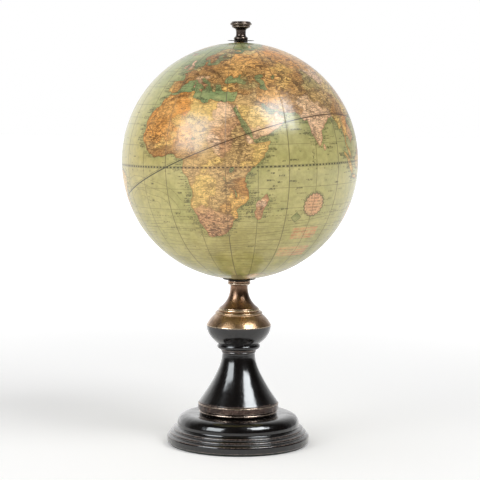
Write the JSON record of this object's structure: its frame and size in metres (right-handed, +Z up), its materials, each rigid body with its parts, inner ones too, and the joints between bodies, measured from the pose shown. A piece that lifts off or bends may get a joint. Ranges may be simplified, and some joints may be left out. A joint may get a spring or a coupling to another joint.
{
  "type": "desktop globe on stand",
  "caption": "Papered terrestrial globe that spins on an upright rod, on a turned ebonised wood and antiqued brass stand, kept on by a screwed finial.",
  "frame": {"origin": "centre of the foot's underside, on the table, on the axis of the stand and the ball", "axes": "+Z up along the rod, -Y towards the front of the globe (the map's 36.7 degrees east), +X to the viewer's right"},
  "size_m": [0.2396, 0.2396, 0.4316],
  "materials": {
    "ebonised_wood": "black lacquered turned wood, glossy on the dome and bell, satin in the mouldings",
    "antiqued_brass": "brown patinated brass, rubbed bright on its edges",
    "dark_brass": "dark bronzed brass, satin",
    "zinc_steel": "zinc plated",
    "baize": "glued green baize",
    "red_fibre": "vulcanised fibre",
    "moulded_board": "moulded grey board with a skim of plaster",
    "map_paper": "printed map paper under clear gloss varnish, sage and yellow sea, orange and yellow land"
  },
  "bodies": {
    "stand": {"felt_pad": "baize", "base_plinth": "ebonised_wood", "base_washer": "zinc_steel", "base_nut": "zinc_steel", "tie_rod": "zinc_steel", "foot_band": "antiqued_brass", "bell_column": "ebonised_wood", "bowl": "ebonised_wood", "shoulder_cap": "antiqued_brass", "neck": "antiqued_brass", "seat_disc": "dark_brass", "seat_washer": "red_fibre", "axis_rod": "zinc_steel"},
    "globe": {"ball_south": "moulded_board", "ball_north": "moulded_board", "equator_hoop": "moulded_board", "lower_bush": "antiqued_brass", "upper_bush": "antiqued_brass", "gore_01": "map_paper", "gore_02": "map_paper", "gore_03": "map_paper", "gore_04": "map_paper", "gore_05": "map_paper", "gore_06": "map_paper", "gore_07": "map_paper", "gore_08": "map_paper", "gore_09": "map_paper", "gore_10": "map_paper", "gore_11": "map_paper", "gore_12": "map_paper", "south_calotte": "map_paper", "north_calotte": "map_paper"},
    "captive_washer": {"pole_washer": "dark_brass"},
    "finial_knob": {"finial": "dark_brass"}
  },
  "joints": [
    {"name": "globe_spin", "type": "hinge", "parent": "stand", "child": "globe", "pos_m": [0, 0, 0.2901], "axis": [0, 0, 1], "continuous": true},
    {"name": "finial_rise", "type": "slide", "parent": "stand", "child": "captive_washer", "axis": [0, 0, 1], "range_m": [0, 0.005]},
    {"name": "finial_turn", "type": "hinge", "parent": "captive_washer", "child": "finial_knob", "pos_m": [0, 0, 0.4118], "axis": [0, 0, 1], "range_deg": [0, 1800.5]}
  ],
  "couplings": [
    {"joint": "finial_turn", "follows": "finial_rise", "rad_per_m": 6283.2}
  ]
}
